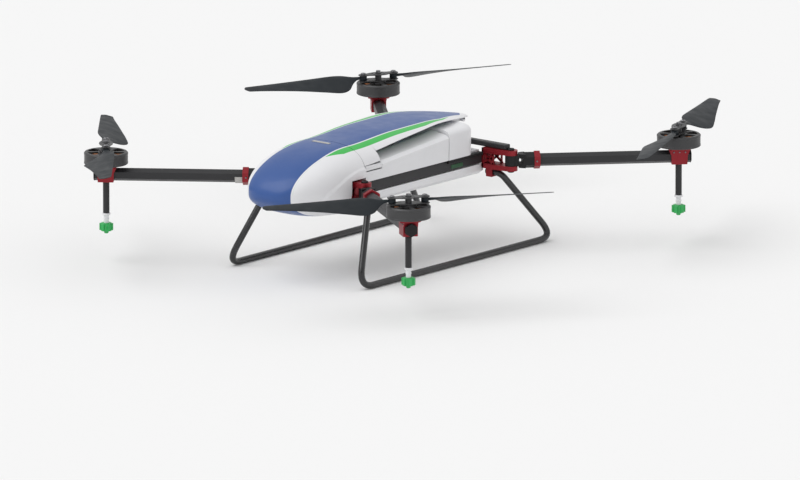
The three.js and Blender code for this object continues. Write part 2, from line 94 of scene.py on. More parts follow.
# Hinge castings: reach across X and the two ends along Y
CASTING = {"front": (126, -296, -258), "rear": (150, 200, 238)}
RAIL_FACE = 111.3
EAR_RADIUS = 16
ARM_Z = 47
ARM_APOTHEM = 13.75
ARM_OVERHANG = 27
BELL = {"radius": 53, "bottom": 73, "top": 102, "wall": 4, "boss": 16}
BLADE_Z = 114.4
BLADE_SPAN = 315
SPRAY = {"tube_radius": 7.8, "top": 26, "adapter": -48, "nozzle": -72}


# ---------------------------------------------------------------- small maths

def steps(count, start, stop):
    return [start + (stop - start) * i / count for i in range(count + 1)]


def clamp(value, low=0.0, high=1.0):
    return max(low, min(high, value))


def smoothstep(value, low, high):
    t = clamp((value - low) / (high - low))
    return t * t * (3 - 2 * t)


def power(value, exponent):
    return math.copysign(abs(value) ** exponent, value)


def round_off(t, exponent):
    return max(0.0, 1 - min(1.0, t) ** exponent) ** (1 / exponent)


def spline(knots, values, at):
    """A smooth curve through (knots, values), read at one place."""
    last = len(knots) - 1
    i = max(0, min(last - 1, sum(1 for k in knots[1:-1] if k <= at)))
    span = knots[i + 1] - knots[i]
    t = (at - knots[i]) / span
    before, after = max(i - 1, 0), min(i + 2, last)
    slope0 = (values[i + 1] - values[before]) / (knots[i + 1] - knots[before]) * span
    slope1 = (values[after] - values[i]) / (knots[after] - knots[i]) * span
    t2, t3 = t * t, t * t * t
    return ((2 * t3 - 3 * t2 + 1) * values[i] + (t3 - 2 * t2 + t) * slope0
            + (3 * t2 - 2 * t3) * values[i + 1] + (t3 - t2) * slope1)


# ---------------------------------------------------------------- shapes: (points, faces)

def loft(rings):
    """A closed skin over rings of the same number of points, with a cap at each end."""
    count = len(rings[0])
    points = [Vector(p) for ring in rings for p in ring]
    faces = []
    for r in range(len(rings) - 1):
        for i in range(count):
            a, b = r * count + i, r * count + (i + 1) % count
            faces.append((a, b, b + count, a + count))
    faces.append(tuple(range(count)))
    faces.append(tuple((len(rings) - 1) * count + i for i in range(count)))
    return points, faces


def lathe(profile, sides=64):
    """A closed outline of (radius, z) turned round the Z axis."""
    points, faces = [], []
    count = len(profile)
    for s in range(sides):
        angle = 2 * math.pi * s / sides
        points += [Vector((r * math.cos(angle), r * math.sin(angle), z)) for r, z in profile]
    for s in range(sides):
        for i in range(count):
            j, t = (i + 1) % count, (s + 1) % sides
            if profile[i][0] == 0 and profile[j][0] == 0:
                continue
            faces.append((s * count + i, t * count + i, t * count + j, s * count + j))
    return points, faces


def prism(outline, low, high):
    return loft([[(x, y, low) for x, y in outline], [(x, y, high) for x, y in outline]])


def tube_prism(outer, inner, low, high):
    """A prism with a hole through it; both outlines have the same number of points."""
    count = len(outer)
    rings = [(outer, low), (outer, high), (inner, high), (inner, low)]
    points = [Vector((x, y, z)) for ring, z in rings for x, y in ring]
    faces = []
    for r in range(4):
        for i in range(count):
            j, n = (i + 1) % count, (r + 1) % 4
            faces.append((r * count + i, r * count + j, n * count + j, n * count + i))
    return points, faces


def block(x0, x1, y0, y1, z0, z1):
    return prism([(x0, y0), (x1, y0), (x1, y1), (x0, y1)], z0, z1)


def circle(radius, sides=48, turn=0.0):
    return [(radius * math.cos(turn + 2 * math.pi * i / sides), radius * math.sin(turn + 2 * math.pi * i / sides))
            for i in range(sides)]


def placed(shape, matrix):
    points, faces = shape
    return [matrix @ p for p in points], faces


def combined(*shapes):
    points, faces = [], []
    for more, rows in shapes:
        start = len(points)
        points += more
        faces += [tuple(start + i for i in row) for row in rows]
    return points, faces


def sweep(path, radius, sides=24):
    """A round bar along a list of points."""
    rings = []
    side = Vector((0, 0, 1)).cross(path[1] - path[0]).normalized()
    for i, point in enumerate(path):
        ahead = (path[min(i + 1, len(path) - 1)] - path[max(i - 1, 0)]).normalized()
        side = (side - ahead * side.dot(ahead)).normalized()
        other = ahead.cross(side)
        rings.append([point + (side * c + other * s) for c, s in circle(radius, sides)])
    return loft(rings)


def bent_path(corners, bends, points_per_bend=10):
    """Straight runs between corners, with each corner rounded over its bend length."""
    path = [corners[0]]
    for i in range(1, len(corners) - 1):
        here = corners[i]
        before = here + (corners[i - 1] - here).normalized() * bends[i - 1]
        after = here + (corners[i + 1] - here).normalized() * bends[i - 1]
        for t in steps(points_per_bend, 0, 1):
            path.append(before * (1 - t) ** 2 + here * 2 * t * (1 - t) + after * t * t)
    return path + [corners[-1]]


def towards(origin, along, up=Vector((0, 0, 1)), hand=1):
    """A placing matrix whose X runs along one direction and whose Z is close to up."""
    x = along.normalized()
    y = up.cross(x).normalized() * hand
    z = x.cross(y) * hand
    turn = Matrix((x, y, z)).transposed().to_4x4()
    return Matrix.Translation(origin) @ turn


# ---------------------------------------------------------------- objects

def add_mesh(name, shape):
    points, faces = shape
    mesh = bpy.data.meshes.new(name)
    mesh.from_pydata([p * MM for p in points], [], faces)
    work = bmesh.new()
    work.from_mesh(mesh)
    bmesh.ops.remove_doubles(work, verts=work.verts, dist=1e-6)
    bmesh.ops.dissolve_degenerate(work, edges=work.edges, dist=1e-7)
    bmesh.ops.recalc_face_normals(work, faces=work.faces)
    work.to_mesh(mesh)
    work.free()
    made = bpy.data.objects.new(name, mesh)
    bpy.context.scene.collection.objects.link(made)
    return made


def round_edges(obj, width_mm, angle=32):
    bevel = obj.modifiers.new("edges", "BEVEL")
    bevel.width = width_mm * MM
    bevel.segments = 3
    bevel.limit_method = "ANGLE"
    bevel.angle_limit = math.radians(angle)
    bevel.harden_normals = True


def carve(obj, shapes, operation="DIFFERENCE"):
    """Cuts or joins shapes and keeps the result as the object's own mesh."""
    for shape in shapes:
        tool = add_mesh("tool", shape)
        change = obj.modifiers.new("carve", "BOOLEAN")
        change.object = tool
        change.operation = operation
        change.solver = "EXACT"
        graph = bpy.context.evaluated_depsgraph_get()
        result = bpy.data.meshes.new_from_object(obj.evaluated_get(graph))
        obj.modifiers.remove(change)
        old = obj.data
        obj.data = result
        bpy.data.meshes.remove(old)
        bpy.data.objects.remove(tool)


def piece(name, shape, body, material, bevel=0.0, sharp=35, stands_for=(), cuts=()):
    """A finished piece of the object: its mesh, its finish, the body it rides on and what it stands for."""
    made = add_mesh(name, shape)
    if cuts:
        carve(made, cuts)
    made.data.polygons.foreach_set("use_smooth", [True] * len(made.data.polygons))
    made.data.set_sharp_from_angle(angle=math.radians(sharp))
    if bevel:
        round_edges(made, bevel)
    made.data.materials.clear()
    made.data.materials.append(material)
    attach(made, body)
    if stands_for:
        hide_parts(*stands_for)
    return made


def dress(node, material, bevel=0.6, angle=32):
    """A CAD node that stays: its own finish, with its edges eased by modifiers."""
    obj = frame["nodes"][node]
    if "custom_normal" in obj.data.attributes:
        obj.data.attributes.remove(obj.data.attributes["custom_normal"])
    obj.data.polygons.foreach_set("use_smooth", [True] * len(obj.data.polygons))
    obj.data.materials.clear()
    obj.data.materials.append(material)
    weld = obj.modifiers.new("weld", "WELD")
    weld.merge_threshold = 2e-5
    round_edges(obj, bevel, angle)
    normals = obj.modifiers.new("normals", "WEIGHTED_NORMAL")
    normals.keep_sharp = True


# ---------------------------------------------------------------- materials

class Nodes:
    """Short ways to add and join shader nodes in one material."""

    def __init__(self, name):
        self.material = bpy.data.materials.new(name)
        self.material.use_nodes = True
        self.tree = self.material.node_tree
        self.shader = self.tree.nodes["Principled BSDF"]
        self.where = self.add("ShaderNodeTexCoord").outputs["Object"]

    def add(self, kind, inputs=None, **settings):
        node = self.tree.nodes.new(kind)
        for key, value in settings.items():
            setattr(node, key, value)
        for key, value in (inputs or {}).items():
            self.feed(node.inputs[key], value)
        return node

    def feed(self, socket, value):
        if isinstance(value, bpy.types.NodeSocket):
            self.tree.links.new(value, socket)
        else:
            socket.default_value = value

    def maths(self, operation, first, second=0.0, third=0.0):
        return self.add("ShaderNodeMath", {0: first, 1: second, 2: third}, operation=operation).outputs[0]

    def noise(self, scale, detail=4.0, stretch=(1, 1, 1)):
        spread = self.add("ShaderNodeMapping", {"Vector": self.where, "Scale": stretch}).outputs[0]
        return self.add("ShaderNodeTexNoise", {"Vector": spread, "Scale": scale, "Detail": detail}).outputs["Fac"]

    def span(self, value, low, high, to_low, to_high, smooth=False):
        kind = "SMOOTHSTEP" if smooth else "LINEAR"
        inputs = {"Value": value, "From Min": low, "From Max": high, "To Min": to_low, "To Max": to_high}
        return self.add("ShaderNodeMapRange", inputs, interpolation_type=kind).outputs[0]

    def mix(self, share, first, second):
        node = self.add("ShaderNodeMix", data_type="RGBA")
        for socket, value in zip((node.inputs[0], node.inputs[6], node.inputs[7]), (share, first, second)):
            self.feed(socket, value)
        return node.outputs[2]

    def edge_share(self, radius_mm):
        """1 along hard edges and 0 on flat faces."""
        eased = self.add("ShaderNodeBevel", {"Radius": radius_mm * MM}, samples=4).outputs[0]
        flat = self.add("ShaderNodeNewGeometry").outputs["Normal"]
        same = self.add("ShaderNodeVectorMath", {0: eased, 1: flat}, operation="DOT_PRODUCT").outputs["Value"]
        return self.span(same, 0.9, 0.998, 1.0, 0.0)


def rgba(colour, gain=1.0):
    return (*[min(1.0, c * gain) for c in colour], 1.0)


def finish(nodes, colour, roughness, metallic=0.0, coat=0.0, grain=900.0, bump=0.05, blotch=0.06,
           wear=0.25, wear_colour=None, weave=0.0, stretch=(1, 1, 1), specular=0.5):
    """Colour variation, worn edges, uneven gloss and a fine surface, on a colour or a colour socket."""
    broad = nodes.noise(14.0, 3.0)
    fine = nodes.noise(grain, 3.0, stretch)
    shade = nodes.span(broad, 0.3, 0.7, 1 - blotch, 1 + blotch)
    tint = nodes.add("ShaderNodeVectorMath", operation="SCALE")
    nodes.feed(tint.inputs[0], colour if isinstance(colour, bpy.types.NodeSocket) else colour[:3])
    nodes.feed(tint.inputs["Scale"], shade)
    worn = tint.outputs[0]
    if wear:
        patches = nodes.span(nodes.noise(90.0, 5.0), 0.42, 0.62, 0.0, wear)
        scuffed = nodes.maths("MULTIPLY", nodes.edge_share(0.9), patches)
        worn = nodes.mix(scuffed, worn, wear_colour or (0.62, 0.62, 0.63, 1.0))
    height = fine
    gloss = nodes.span(nodes.noise(38.0, 6.0), 0.3, 0.7, roughness * 0.86, roughness * 1.16)
    if weave:
        warp = nodes.add("ShaderNodeTexWave", {"Vector": nodes.where, "Scale": 160.0}, bands_direction="DIAGONAL")
        flip = nodes.add("ShaderNodeMapping", {"Vector": nodes.where, "Scale": (1, -1, 1)}).outputs[0]
        weft = nodes.add("ShaderNodeTexWave", {"Vector": flip, "Scale": 160.0}, bands_direction="DIAGONAL")
        twill = nodes.maths("MULTIPLY", warp.outputs["Fac"], weft.outputs["Fac"])
        gloss = nodes.maths("ADD", gloss, nodes.maths("MULTIPLY", twill, -weave))
        height = nodes.maths("ADD", fine, nodes.maths("MULTIPLY", twill, 0.6))
    relief = nodes.add("ShaderNodeBump", {"Strength": bump, "Distance": 0.0004, "Height": height})
    for key, value in (("Base Color", worn), ("Roughness", gloss), ("Metallic", metallic),
                       ("Coat Weight", coat), ("Coat Roughness", 0.08), ("Specular IOR Level", specular),
                       ("Normal", relief.outputs[0])):
        nodes.feed(nodes.shader.inputs[key], value)
    return nodes.material


def simple(name, colour, roughness, **more):
    return finish(Nodes(name), rgba(colour), roughness, **more)


def banded_shell(name):
    """Gloss white shell with its blue centre band, white pinstripe and green side bands."""
    nodes = Nodes(name)
    split = nodes.add("ShaderNodeSeparateXYZ", {0: nodes.where})
    across = nodes.maths("MULTIPLY", nodes.maths("ABSOLUTE", split.outputs[0]), 1 / MM)
    along = nodes.maths("MULTIPLY", split.outputs[1], 1 / MM)
    height = nodes.maths("MULTIPLY", split.outputs[2], 1 / MM)
    half = nodes.span(along, -360, -291, BLUE_HALF + BLUE_NOSE_EXTRA, BLUE_HALF)
    half = nodes.maths("SUBTRACT", half, nodes.span(along, 100, 217, 0, 32))
    tail_end = nodes.maths("SUBTRACT", 252, nodes.maths("MULTIPLY", across, 1.17))

    def below(value, limit, blur=0.5):
        return nodes.span(nodes.maths("SUBTRACT", value, limit), -blur, blur, 1.0, 0.0)

    over_belly = nodes.maths("MAXIMUM", below(along, -352), nodes.span(height, 8, 9, 0, 1))
    blue = nodes.maths("MULTIPLY", below(across, half), nodes.maths("MULTIPLY", below(along, tail_end), over_belly))
    band = nodes.maths("MULTIPLY", nodes.span(along, -338, -288, 0, GREEN_WIDTH), nodes.span(along, 20, 150, 1, 0))
    inner = nodes.maths("ADD", half, PINSTRIPE)
    outer = nodes.maths("ADD", inner, band)
    green = nodes.maths("MULTIPLY", below(across, outer), nodes.maths("SUBTRACT", 1.0, below(across, inner)))
    green = nodes.maths("MULTIPLY", green, nodes.span(height, 60, 62, 0, 1))
    colour = nodes.mix(green, rgba((0.77, 0.77, 0.79)), rgba((0.045, 0.47, 0.08)))
    colour = nodes.mix(blue, colour, rgba((0.036, 0.092, 0.29)))
    return finish(nodes, colour, 0.34, coat=0.08, grain=500.0, bump=0.0, blotch=0.012, wear=0, specular=0.32)


MATERIALS = {
    "bands": banded_shell("hull_paint"),
    "white": simple("white_shell", (0.77, 0.77, 0.79), 0.36, coat=0.1, grain=500.0, bump=0.03, blotch=0.02, wear=0),
    "carbon": simple("satin_carbon", (0.03, 0.03, 0.032), 0.42, bump=0.12, weave=0.1, wear=0.15, specular=0.3,
                     wear_colour=(0.09, 0.09, 0.095, 1.0)),
    "tube": simple("skid_tube", (0.016, 0.016, 0.018), 0.24, coat=0.3, bump=0.06, wear=0),
    "red": simple("red_anodised", (0.27, 0.012, 0.02), 0.36, metallic=0.5, bump=0.08, wear=0.3,
                  wear_colour=(0.45, 0.1, 0.11, 1.0)),
    "black": simple("black_nylon", (0.009, 0.009, 0.010), 0.5, bump=0.2, grain=1400.0, wear=0.2, specular=0.3,
                    wear_colour=(0.06, 0.06, 0.065, 1.0)),
    "motor": simple("motor_can", (0.05, 0.05, 0.052), 0.42, metallic=0.3, bump=0.08, wear=0.25, stretch=(1, 1, 14),
                    wear_colour=(0.3, 0.3, 0.31, 1.0)),
    "blade": simple("blade_composite", (0.011, 0.015, 0.019), 0.46, bump=0.06, grain=700.0, wear=0, specular=0.2),
    "green": simple("green_nozzle", (0.03, 0.42, 0.1), 0.38, bump=0.1, blotch=0.04, wear=0.1),
    "grey": simple("light_grey_plastic", (0.46, 0.45, 0.43), 0.42, bump=0.12, wear=0.1),
    "steel": simple("screw_steel", (0.2, 0.2, 0.21), 0.34, metallic=0.9, bump=0.08, wear=0.3),
    "copper": simple("winding_copper", (0.32, 0.12, 0.045), 0.4, metallic=0.7, grain=2600.0, bump=0.5, wear=0),
    "lamp": simple("dark_green_lens", (0.004, 0.07, 0.02), 0.3, bump=0.03, wear=0),
}


# ---------------------------------------------------------------- hull

def arch_height(y):
    """Height of the raised arch on the cowl's flank, by its place along the hull."""
    t = clamp((y + 425) / 175)
    return 20 + 80 * math.sin(t * math.pi / 2) ** 0.9


def cowl_ring(reach, inset, count, flank=0.0):
    y = SEAM_Y - 0.6 + reach * (NOSE_TIP_Y - SEAM_Y)
    waist = WAIST_Z + (NOSE_TIP_Z - WAIST_Z) * reach
    half_width = HULL_HALF_WIDTH * round_off(reach, 2.7) - inset
    crown = (CROWN_Z - NOSE_TIP_Z) * round_off(reach, 1.85) + NOSE_TIP_Z - waist - inset
    belly = (NOSE_TIP_Z - NOSE_BELLY_Z) * round_off(reach, 2) + waist - NOSE_TIP_Z - inset
    ring = []
    for i in range(count):
        angle = 2 * math.pi * i / count
        side = power(math.cos(angle), 2 / HULL_ROUNDNESS)
        lift = power(math.sin(angle), 2 / HULL_ROUNDNESS)
        z = waist + lift * (crown if lift > 0 else belly)
        proud = flank * smoothstep(arch_height(y) - z, 0, 3) * smoothstep(abs(side), 0.35, 0.75)
        proud *= smoothstep(y, -432, -405) * smoothstep(z, -12, 8)
        ring.append((side * half_width + math.copysign(proud, side), y, z))
    return ring


def nose_cowl():
    count = 240
    reaches = [math.sin(a) for a in steps(96, 0, 0.485 * math.pi)]
    outer = [cowl_ring(r, 0, count, flank=3.4) for r in reaches]
    inner = [cowl_ring(r, HULL_WALL, count) for r in reaches[:-6]]
    points = [Vector(p) for ring in reversed(outer) for p in ring] + [Vector(p) for ring in inner for p in ring]
    faces = []
    rings = len(outer) + len(inner)
    for r in range(rings - 1):
        for i in range(count):
            a, b = r * count + i, r * count + (i + 1) % count
            faces.append((a, b, b + count, a + count))
    faces.append(tuple(range(count)))
    faces.append(tuple((rings - 1) * count + i for i in range(count)))
    notches = [block(x0, x1, -304, SEAM_Y + 5, -8, 76) for x0, x1 in ((90, 160), (-160, -90))]
    latch_slot = block(-26.6, 26.6, -275.6, -265.4, 135, 155)
    piece("nose_cowl_skin", (points, faces), "airframe", MATERIALS["bands"],
          sharp=50, stands_for=("nose_cowl",), cuts=[*notches, latch_slot])


def hood_ring(y, edge, across):
    run = (y - SEAM_Y) / (TAIL_Y - SEAM_Y)
    rise = smoothstep(y, HOOD_STEP_Y - 60, 100)
    drop = RIDGE["drop"] * max(0.0, (y - RIDGE["drop_from"]) / RIDGE["drop_run"]) ** 1.7
    ridge = CROWN_Z + RIDGE["rise"] * smoothstep(y, RIDGE["from"], RIDGE["to"]) - drop
    full = HULL_HALF_WIDTH * (1 - 0.8 * run ** 3.9)
    waist = WAIST_Z + (ridge - 16 - WAIST_Z) * rise

    def height(x, wide, inset):
        return waist + (ridge - inset - waist) * round_off(abs(x) / wide, HULL_ROUNDNESS)

    spots = [full * edge * math.sin(s * math.pi / 2) for s in steps(across, -1, 1)]
    outer = [(x, y, height(x, full, 0)) for x in spots]
    inner = []
    for x in reversed(spots):
        inside = x * (1 - HULL_WALL / full)
        inner.append((inside, y, height(inside, full - HULL_WALL, HULL_WALL)))
    return outer + inner


def rear_hood():
    across = 110
    front = [hood_ring(y, HOOD_EDGE_FRONT, across) for y in steps(16, SEAM_Y + 1.2, HOOD_STEP_Y)]
    back = [hood_ring(y, HOOD_EDGE_REAR, across) for y in steps(110, HOOD_STEP_Y + 0.8, TAIL_Y)]
    y, z = HOOD_PIVOT
    hinge = []
    for x0, x1 in ((-16, -8.5), (8.5, 16)):
        turn = Matrix.Translation((0, y, z)) @ Matrix.Rotation(math.pi / 2, 4, "Y")
        hinge.append(placed(prism(circle(5, 32), x0, x1), turn))
        hinge.append(block(x0, x1, y - 3, y + 3, z, 131.5))
    turn = Matrix.Translation((0, y, z)) @ Matrix.Rotation(math.pi / 2, 4, "Y")
    hinge.append(placed(prism(circle(2.5, 24), -10, 10), turn))
    hood = piece("rear_hood_skin", loft(front + back), "hood", MATERIALS["bands"],
                 sharp=50, stands_for=("rear_hood",))
    knuckles = piece("hood_hinge_knuckles", combined(*hinge), "hood", MATERIALS["white"], bevel=0.4)
    return hood, knuckles


def battery_bay():
    half, radius = BAY["half_width"], BAY["corner"]
    arc = steps(20, 0, math.pi / 2)
    plan = [(-half, BAY["front"]), (half, BAY["front"])]
    plan += [(half - radius + radius * math.cos(a), BAY["corner_y"] + radius * math.sin(a)) for a in arc]
    plan += [(radius - half - radius * math.sin(a), BAY["corner_y"] + radius * math.cos(a)) for a in arc]

    def level(scale, deep, z):
        return [(x * scale, BAY["front"] + (y - BAY["front"]) * deep, z) for x, y in plan]

    rings = [level(1, 1, BAY["bottom"]), level(1, 1, BAY["shoulder"])]
    for a in steps(12, 0, math.pi / 2)[1:]:
        rings.append(level(1 - 0.2 * (1 - math.cos(a)), 1 - 0.11 * (1 - math.cos(a)),
                           BAY["shoulder"] + (BAY["top"] - BAY["shoulder"]) * math.sin(a)))
    y, z = HOOD_PIVOT
    turn = Matrix.Translation((0, y, z)) @ Matrix.Rotation(math.pi / 2, 4, "Y")
    wide, deep = POCKET["half_width"], POCKET["rear"]
    pocket = block(-wide, wide, POCKET["front"], deep, POCKET["floor"], BAY["top"] + 5)
    made = piece("battery_bay_shell", loft(rings), "airframe", MATERIALS["white"],
                 bevel=1.0, sharp=40, stands_for=("battery_bay",), cuts=[pocket])
    cradle = piece("battery_cradle", block(-50, 50, BAY["front"] + 3, deep + 5, 8, BAY["bottom"]), "airframe",
                   MATERIALS["white"], bevel=1.0, cuts=[pocket])
    lug = piece("hood_lug", block(-8, 8, deep + 4, y, 115, 123), "airframe", MATERIALS["white"], bevel=0.6)
    eye_outline = circle(4.6, 32)
    eye = piece("hood_lug_eye", placed(tube_prism(eye_outline, circle(3, 32), -8, 8), turn), "airframe",
                MATERIALS["white"])
    return made, cradle, lug, eye


def tank_shoulder(side):
    """The white shoulder on the tank that the hood's deep front edge comes down to."""
    hand = 1 if side == "left" else -1
    low, high = sorted((hand * 108, hand * 119))
    piece(f"{side}_tank_shoulder", block(low, high, SEAM_Y + 3.5, HOOD_STEP_Y + 4, 86, 101.2), "airframe",
          MATERIALS["white"], bevel=1.5)


def skid(side):
    hand = 1 if side == "left" else -1
    s = SKID
    corners = [Vector(p) for p in (
        (s["inner_x"], s["front_top_y"], s["top_z"]), (s["top_x"], s["front_top_y"], s["top_z"]),
        (s["foot_x"], s["front"], s["foot_z"]), (s["foot_x"], s["rear"], s["foot_z"]),
        (s["top_x"], s["rear_top_y"], s["top_z"]), (s["inner_x"], s["rear_top_y"], s["top_z"]))]
    path = bent_path(corners, [18, 52, 52, 18])
    shape = placed(sweep(path, s["radius"]), Matrix.Diagonal((hand, 1, 1, 1)))
    piece(f"{side}_skid_tube", shape, "airframe", MATERIALS["tube"], bevel=0.8,
          stands_for=(f"{side}_skid",))


def rail_lamp():
    low, high = (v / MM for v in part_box("left_rail"))
    piece("rail_indicator", block(high.x - 0.5, high.x + 1.2, 84, 128, low.z + 4, low.z + 14), "airframe",
          MATERIALS["lamp"], bevel=0.5)


def rail_shadow_strip(side):
    """A black strip along the top of the rail's outer face, below the battery bay: a painted shadow standing for the
    shade the bay casts on the rail.
    """
    hand = 1 if side == "left" else -1
    low, high = sorted((hand * (RAIL_FACE - 0.5), hand * (RAIL_FACE + 6.5)))
    piece(f"{side}_rail_shadow_strip", block(low, high, BAY["front"], 199, 54, 62.4), "airframe",
          MATERIALS["black"], bevel=1.2)


# ---------------------------------------------------------------- corners

def joint_at(name):
    return next(Vector(j["pos_m"]) / MM for j in frame["joints"] if j["name"] == name)


def arm_matrix(corner):
    """X along the arm from its hinge pin, Z up, Y mirrored on the right side."""
    pin = joint_at(f"arm_fold_{corner}").xy.to_3d()
    motor = joint_at(f"rotor_spin_{corner}").xy.to_3d()
    return towards(pin, motor - pin, hand=1 if "left" in corner else -1)


def arm_length(corner):
    return (joint_at(f"rotor_spin_{corner}").xy - joint_at(f"arm_fold_{corner}").xy).length


def hexagon(apothem, z=ARM_Z):
    corner = apothem / math.cos(math.radians(30))
    return [(corner * math.cos(math.radians(30 + 60 * i)), z + corner * math.sin(math.radians(30 + 60 * i)))
            for i in range(6)]


LAY_ALONG_X = Matrix(((0, 0, 1, 0), (1, 0, 0, 0), (0, 1, 0, 0), (0, 0, 0, 1)))


def along_x(shape):
    """Turns a shape drawn in (Y, Z) and standing along Z so that it runs along X."""
    return placed(shape, LAY_ALONG_X)


def screw(place, facing, radius=2.6, height=1.8):
    """A domed screw head with a hexagonal socket, sitting on a face."""
    dome = [(0, height * 0.45), (radius * 0.45, height * 0.45), (radius * 0.45, height), (radius * 0.8, height * 0.92),
            (radius, height * 0.45), (radius, 0), (0, 0)]
    turn = facing.to_track_quat("Z", "Y").to_matrix().to_4x4()
    return placed(lathe(dome, 18), Matrix.Translation(place) @ turn)


def arm_details(corner):
    place, length = arm_matrix(corner), arm_length(corner)
    body = f"arm_{corner}"
    collar = along_x(tube_prism(hexagon(19.2), hexagon(17.1), 55, 67.5))
    lip = along_x(tube_prism(hexagon(19.2), hexagon(ARM_APOTHEM + 0.4), 66.4, 69.5))
    piece(f"arm_collar_{corner}", placed(combined(collar, lip), place), body, MATERIALS["red"], bevel=0.5)
    if "front" in corner:
        sleeve = along_x(tube_prism(hexagon(15.4), hexagon(ARM_APOTHEM + 0.1), 70, 88))
        piece(f"arm_clip_{corner}", placed(sleeve, place), body, MATERIALS["grey"], bevel=0.4,
              cuts=[placed(block(60, 98, -30, 30, ARM_Z, ARM_Z + 30), place)])
    end = length + ARM_OVERHANG
    plug = combined(along_x(prism(hexagon(ARM_APOTHEM - 2.1), end - 8, end + 1)),
                    along_x(prism(hexagon(ARM_APOTHEM + 0.6), end + 0.2, end + 2.6)))
    piece(f"arm_end_cap_{corner}", placed(plug, place), body, MATERIALS["black"], bevel=0.6)
    heads = [screw(Vector((61, side * 19.2, ARM_Z)), Vector((0, side, 0)), 2.2) for side in (-1, 1)]
    for side in (-1, 1):
        heads += [screw(Vector((length + step, side * 18, 60)), Vector((0, side, 0)), 2.0) for step in (-14, 0, 14)]
        heads += [screw(Vector((length + step, side * 22, 70)), Vector((0, 0, 1)), 2.2) for step in (-19, 19)]
    piece(f"arm_screws_{corner}", placed(combined(*heads), place), body, MATERIALS["steel"], sharp=30)


def hinge_casting(corner):
    """An open casting: two ears joined by a wall and crossed ribs, with a clamp for the skid's end."""
    pin = joint_at(f"arm_fold_{corner}")
    px, py = abs(pin.x), pin.y
    end = corner.split("_")[0]
    reach, y0, y1 = CASTING[end]
    inner = RAIL_FACE
    rim = [(px + EAR_RADIUS * math.cos(a), py + EAR_RADIUS * math.sin(a)) for a in steps(24, -math.pi / 2, math.pi / 2)]
    top = max(y1 - 2, py + EAR_RADIUS - 8)
    outline = [(inner, y0), (reach, y0), *rim, (reach, min(y1, top)), (inner, y1)]
    parts = [prism(outline, 22, 33.7), prism(outline, 60.3, 72), block(inner, inner + 5, y0, y1, 22, 72)]
    for y in (y0 + 1, y1 - 5):
        for z0, z1 in ((33, 61), (61, 33)):
            start, stop = Vector((inner + 1, y, z0)), Vector((reach - 2, y, z1))
            bar = block(0, (stop - start).length, -2, 2, -2.6, 2.6)
            parts.append(placed(bar, towards(start + Vector((0, 2, 0)), stop - start)))
        parts.append(block(reach - 7, reach - 3, y, y + 4, 30, 64))
    parts.append(placed(prism(circle(5, 24), 22, 72), Matrix.Translation((px, py, 0))))
    clamp_y = SKID[f"{end}_top_y"]
    clamp = block(inner + 8, inner + 26, clamp_y - 12, clamp_y + 12, 1, 24)
    bore = placed(prism(circle(8.5, 28), inner - 5, inner + 60),
                  Matrix.Translation((0, clamp_y, 12)) @ Matrix.Rotation(math.pi / 2, 4, "Y"))
    mirror = Matrix.Diagonal((1 if "left" in corner else -1, 1, 1, 1))
    piece(f"hinge_casting_{corner}", placed(combined(*parts), mirror), "airframe",
          MATERIALS["red"], bevel=0.8, stands_for=(f"hinge_block_{corner}",))
    piece(f"skid_clamp_{corner}", placed(clamp, mirror), "airframe",
          MATERIALS["red"], bevel=0.8, cuts=[placed(bore, mirror)])
    cap = lathe([(0, 0), (8.5, 0), (8.5, 2.6), (7.2, 4.4), (3.6, 4.4), (3.6, 2.2), (0, 2.2)], 32)
    heads = [placed(cap, Matrix.Translation((pin.x, pin.y, 72))),
             placed(cap, Matrix.Translation((pin.x, pin.y, 22)) @ Matrix.Rotation(math.pi, 4, "X"))]
    piece(f"hinge_pin_heads_{corner}", combined(*heads), "airframe", MATERIALS["black"], bevel=0.3)


